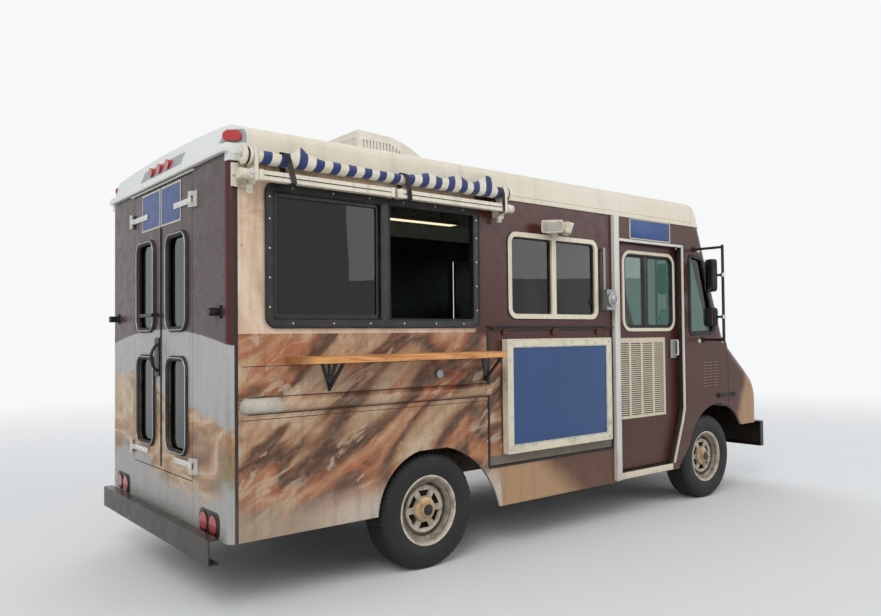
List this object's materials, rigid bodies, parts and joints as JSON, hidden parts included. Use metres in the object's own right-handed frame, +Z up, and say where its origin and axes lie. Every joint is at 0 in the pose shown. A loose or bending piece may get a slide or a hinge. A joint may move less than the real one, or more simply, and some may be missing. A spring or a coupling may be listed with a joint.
{
  "type": "food truck",
  "caption": "Step-van food truck with serving window, shelf, folded awning, roof air conditioner, sliding cab doors, rear doors, side hatch and tilting hood.",
  "frame": {"origin": "on the ground, midway between the front and rear bumper faces, on the centre plane", "axes": "+X forward, +Y to the left (driver's side), +Z up; the serving side is -Y"},
  "size_m": [5.625, 2.6, 2.9223],
  "materials": {
    "brown_paint": "gloss",
    "cream_paint": "gloss",
    "cap_paint": "satin",
    "black_metal": "satin",
    "frame_metal": "matte",
    "aluminium": "satin",
    "steel": "brushed",
    "glass": "tinted",
    "tyre": "matte",
    "rim_paint": "satin",
    "awning_fabric": "woven",
    "wood": "varnished",
    "board": "gloss",
    "white_plastic": "matte",
    "lamp_red": "gloss",
    "lamp_clear": "clear",
    "seat_cover": "woven",
    "floor_metal": "satin"
  },
  "bodies": {
    "body": {"side_wall_left": "brown_paint", "side_wall_right": "brown_paint", "rear_wall": "brown_paint", "roof_cap": "cap_paint", "cab_side_left": "brown_paint", "cab_side_right": "brown_paint", "windscreen_frame": "brown_paint", "body_glass": "glass", "service_window_frame": "black_metal", "side_window_frame": "cream_paint", "door_posts": "cream_paint", "rub_rails": "brown_paint", "shelf": "wood", "shelf_brackets": "steel", "awning_frame": "cream_paint", "awning_roll": "awning_fabric", "roof_air_conditioner": "white_plastic", "hinges": "brown_paint", "door_tracks": "steel", "flood_lamps": "black_metal", "marker_lamps": "lamp_red", "mirrors": "black_metal", "power_inlets": "aluminium", "chassis_frame": "frame_metal", "floor": "floor_metal", "engine": "frame_metal", "exhaust": "steel", "fuel_tank": "frame_metal", "dashboard": "black_metal", "driver_seat": "seat_cover", "kitchen_units": "steel", "ceiling_lamp": "white_plastic", "front_axle": "frame_metal", "rear_axle": "frame_metal", "front_bumper": "black_metal", "rear_bumper": "black_metal"},
    "rear_door_left": {"rear_door_left": "brown_paint", "rear_door_glass_left": "glass", "rear_door_handles": "steel"},
    "rear_door_right": {"rear_door_right": "brown_paint", "rear_door_glass_right": "glass"},
    "cab_door_left": {"cab_door_left": "brown_paint", "cab_door_glass_left": "glass"},
    "cab_door_right": {"cab_door_right": "brown_paint", "cab_door_glass_right": "glass"},
    "hood": {"hood": "brown_paint", "grille": "black_metal", "headlamps": "lamp_clear"},
    "side_hatch": {"side_hatch": "brown_paint", "menu_board": "board"},
    "knuckle_left": {"knuckle_left": "frame_metal"},
    "knuckle_right": {"knuckle_right": "frame_metal"},
    "wheel_front_left": {"rim_front_left": "rim_paint", "tyre_front_left": "tyre"},
    "wheel_front_right": {"rim_front_right": "rim_paint", "tyre_front_right": "tyre"},
    "wheel_rear_left": {"rim_rear_left": "rim_paint", "tyre_rear_left": "tyre"},
    "wheel_rear_right": {"rim_rear_right": "rim_paint", "tyre_rear_right": "tyre"}
  },
  "joints": [
    {"name": "rear_door_left_hinge", "type": "hinge", "parent": "body", "child": "rear_door_left", "pos_m": [-2.7475, 0.535, 1.51], "axis": [0, 0, -1], "range_deg": [0, 165]},
    {"name": "rear_door_right_hinge", "type": "hinge", "parent": "body", "child": "rear_door_right", "pos_m": [-2.7475, -0.535, 1.51], "axis": [0, 0, 1], "range_deg": [0, 165]},
    {"name": "cab_door_left_slide", "type": "slide", "parent": "body", "child": "cab_door_left", "axis": [-1, 0, 0], "range_m": [0, 0.65]},
    {"name": "cab_door_right_slide", "type": "slide", "parent": "body", "child": "cab_door_right", "axis": [-1, 0, 0], "range_m": [0, 0.65]},
    {"name": "hood_tilt", "type": "hinge", "parent": "body", "child": "hood", "pos_m": [2.6805, 0, 0.606], "axis": [0, 1, 0], "range_deg": [0, 50]},
    {"name": "side_hatch_hinge", "type": "hinge", "parent": "body", "child": "side_hatch", "pos_m": [-0.2445, -1.036, 1.513], "axis": [-1, 0, 0], "range_deg": [0, 85]},
    {"name": "steer_left", "type": "hinge", "parent": "body", "child": "knuckle_left", "pos_m": [1.8025, 0.8, 0.366], "axis": [0, 0, 1], "range_deg": [-32, 32]},
    {"name": "steer_right", "type": "hinge", "parent": "body", "child": "knuckle_right", "pos_m": [1.8025, -0.8, 0.366], "axis": [0, 0, 1], "range_deg": [-32, 32]},
    {"name": "wheel_front_left_spin", "type": "hinge", "parent": "knuckle_left", "child": "wheel_front_left", "pos_m": [1.8025, 0.875, 0.366], "axis": [0, 1, 0], "continuous": true},
    {"name": "wheel_front_right_spin", "type": "hinge", "parent": "knuckle_right", "child": "wheel_front_right", "pos_m": [1.8025, -0.875, 0.366], "axis": [0, 1, 0], "continuous": true},
    {"name": "wheel_rear_left_spin", "type": "hinge", "parent": "body", "child": "wheel_rear_left", "pos_m": [-1.3725, 0.875, 0.366], "axis": [0, 1, 0], "continuous": true},
    {"name": "wheel_rear_right_spin", "type": "hinge", "parent": "body", "child": "wheel_rear_right", "pos_m": [-1.3725, -0.875, 0.366], "axis": [0, 1, 0], "continuous": true}
  ],
  "couplings": [
    {"joint": "steer_right", "follows": "steer_left", "ratio": 1}
  ]
}
